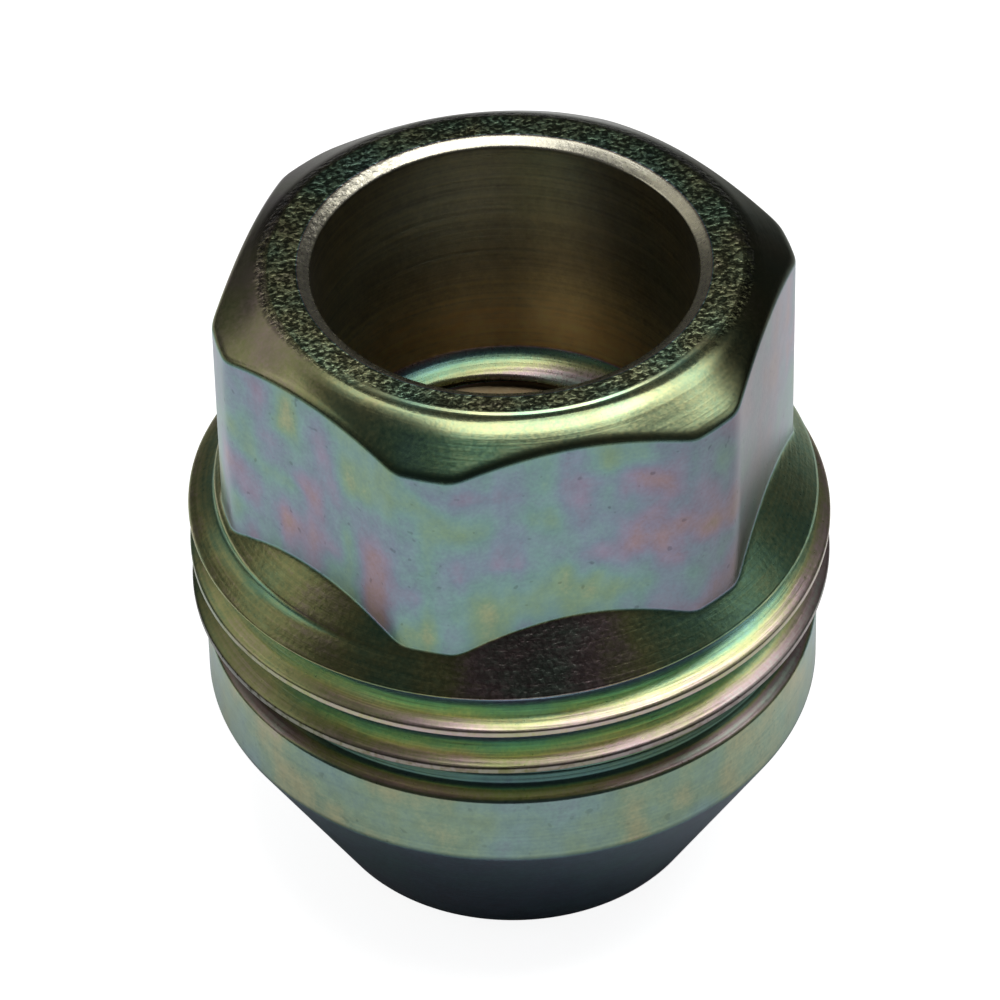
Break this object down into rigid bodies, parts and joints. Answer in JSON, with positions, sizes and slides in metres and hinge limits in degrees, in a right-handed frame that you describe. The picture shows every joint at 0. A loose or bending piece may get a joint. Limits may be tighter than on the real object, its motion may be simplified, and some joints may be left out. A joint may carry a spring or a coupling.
{
  "type": "lug nut",
  "caption": "Open-ended steel wheel nut: a chamfered hexagon with a deep counterbore, an external cap thread, a plain band and a conical seat around a threaded stud bore.",
  "frame": {"origin": "centre of the nose face, the small end of the conical seat, at the lowest point", "axes": "+Z along the bore axis from the nose towards the hexagon, +X through a corner of the hexagon"},
  "size_m": [0.0268, 0.0268, 0.0295],
  "materials": {
    "zinc_plated_steel": "steel with an iridescent yellow zinc passivate, satin, with turning rings and a pitted top face"
  },
  "bodies": {
    "root": {"lug_nut": "zinc_plated_steel"}
  },
  "joints": []
}
